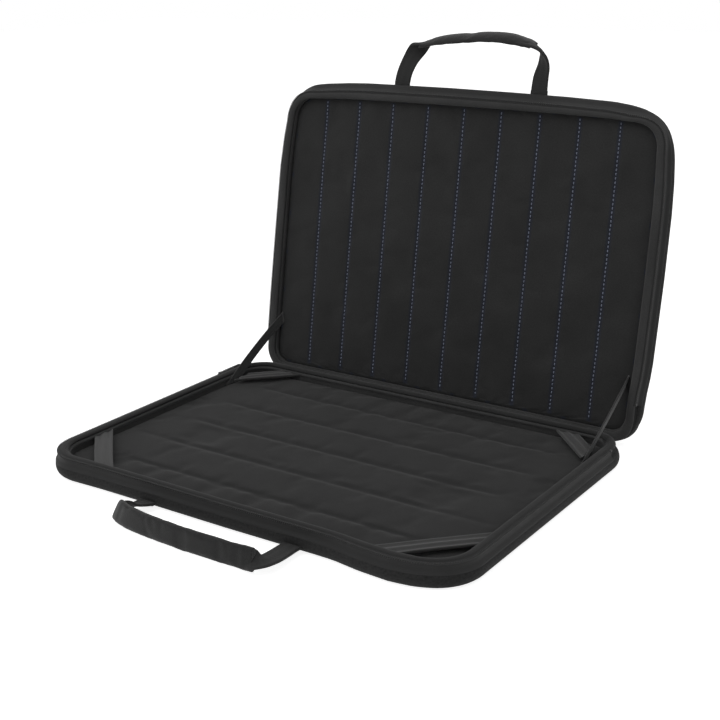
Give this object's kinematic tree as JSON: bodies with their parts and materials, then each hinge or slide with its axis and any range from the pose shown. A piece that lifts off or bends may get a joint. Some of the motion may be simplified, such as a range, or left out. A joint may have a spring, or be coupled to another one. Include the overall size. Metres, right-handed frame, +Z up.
{
  "type": "laptop hard case",
  "caption": "Open zip-round hard case for a laptop: padded shells on a fabric hinge, side stays, corner bands, quilted lining and webbing handles.",
  "frame": {"origin": "centre of the base's underside, on the ground under the middle of the rim", "axes": "+X along the spine to the right as seen from the front, +Y from the front handle towards the spine, +Z up"},
  "size_m": [0.3761, 0.3838, 0.3073],
  "materials": {
    "shell_cloth": "grained woven cloth over moulded foam",
    "floor_lining": "smooth brushed lining",
    "lid_lining": "smooth quilted lining",
    "wall_lining": "smooth lining",
    "binding": "smooth bound edge",
    "zip_tape": "fine woven tape",
    "zip_coil": "moulded coil",
    "zip_metal": "black enamel",
    "elastic": "ribbed elastic",
    "stay_ribbon": "woven ribbon",
    "spine_cloth": "woven cloth",
    "grip_cloth": "padded woven cloth",
    "webbing": "woven webbing"
  },
  "bodies": {
    "base": {"base_shell": "shell_cloth", "base_floor_pad": "floor_lining", "base_wall_lining": "wall_lining", "base_rim_binding": "binding", "base_zip_tape": "zip_tape", "base_zip_coil": "zip_coil", "base_zip_stops": "zip_metal", "lower_handle_anchors": "webbing", "left_stay": "stay_ribbon", "right_stay": "stay_ribbon", "corner_band_front_left": "elastic", "corner_band_front_right": "elastic", "corner_band_back_left": "elastic", "corner_band_back_right": "elastic"},
    "lid": {"lid_shell": "shell_cloth", "lid_lining_pad": "lid_lining", "lid_wall_lining": "wall_lining", "lid_rim_binding": "binding", "lid_zip_tape": "zip_tape", "lid_zip_coil": "zip_coil", "lid_zip_stops": "zip_metal", "upper_handle_anchors": "webbing", "spine_strip": "spine_cloth"},
    "lower_handle": {"lower_handle_webbing": "webbing", "lower_handle_grip": "grip_cloth"},
    "upper_handle": {"upper_handle_webbing": "webbing", "upper_handle_grip": "grip_cloth"},
    "zip_slider": {"zip_slider": "zip_metal"},
    "zip_pull": {"zip_pull": "zip_metal"}
  },
  "joints": [
    {"name": "lid_hinge", "type": "hinge", "parent": "base", "child": "lid", "pos_m": [0, 0.1302, 0.0069], "axis": [1, 0, 0], "range_deg": [0, 100], "deforming": ["left_stay", "right_stay"]},
    {"name": "lower_handle_swing", "type": "hinge", "parent": "base", "child": "lower_handle", "pos_m": [0, -0.1343, 0.0052], "axis": [1, 0, 0], "range_deg": [0, 80]},
    {"name": "upper_handle_swing", "type": "hinge", "parent": "lid", "child": "upper_handle", "pos_m": [0, 0.20361, 0.26254], "axis": [-1, 0, 0], "range_deg": [0, 80]},
    {"name": "slider_travel", "type": "slide", "parent": "base", "child": "zip_slider", "axis": [0, -1, 0], "range_m": [0, 0.166]},
    {"name": "pull_swing", "type": "hinge", "parent": "zip_slider", "child": "zip_pull", "pos_m": [-0.188, 0.086, 0.0151], "axis": [0, 0, 1], "range_deg": [0, 170]}
  ]
}
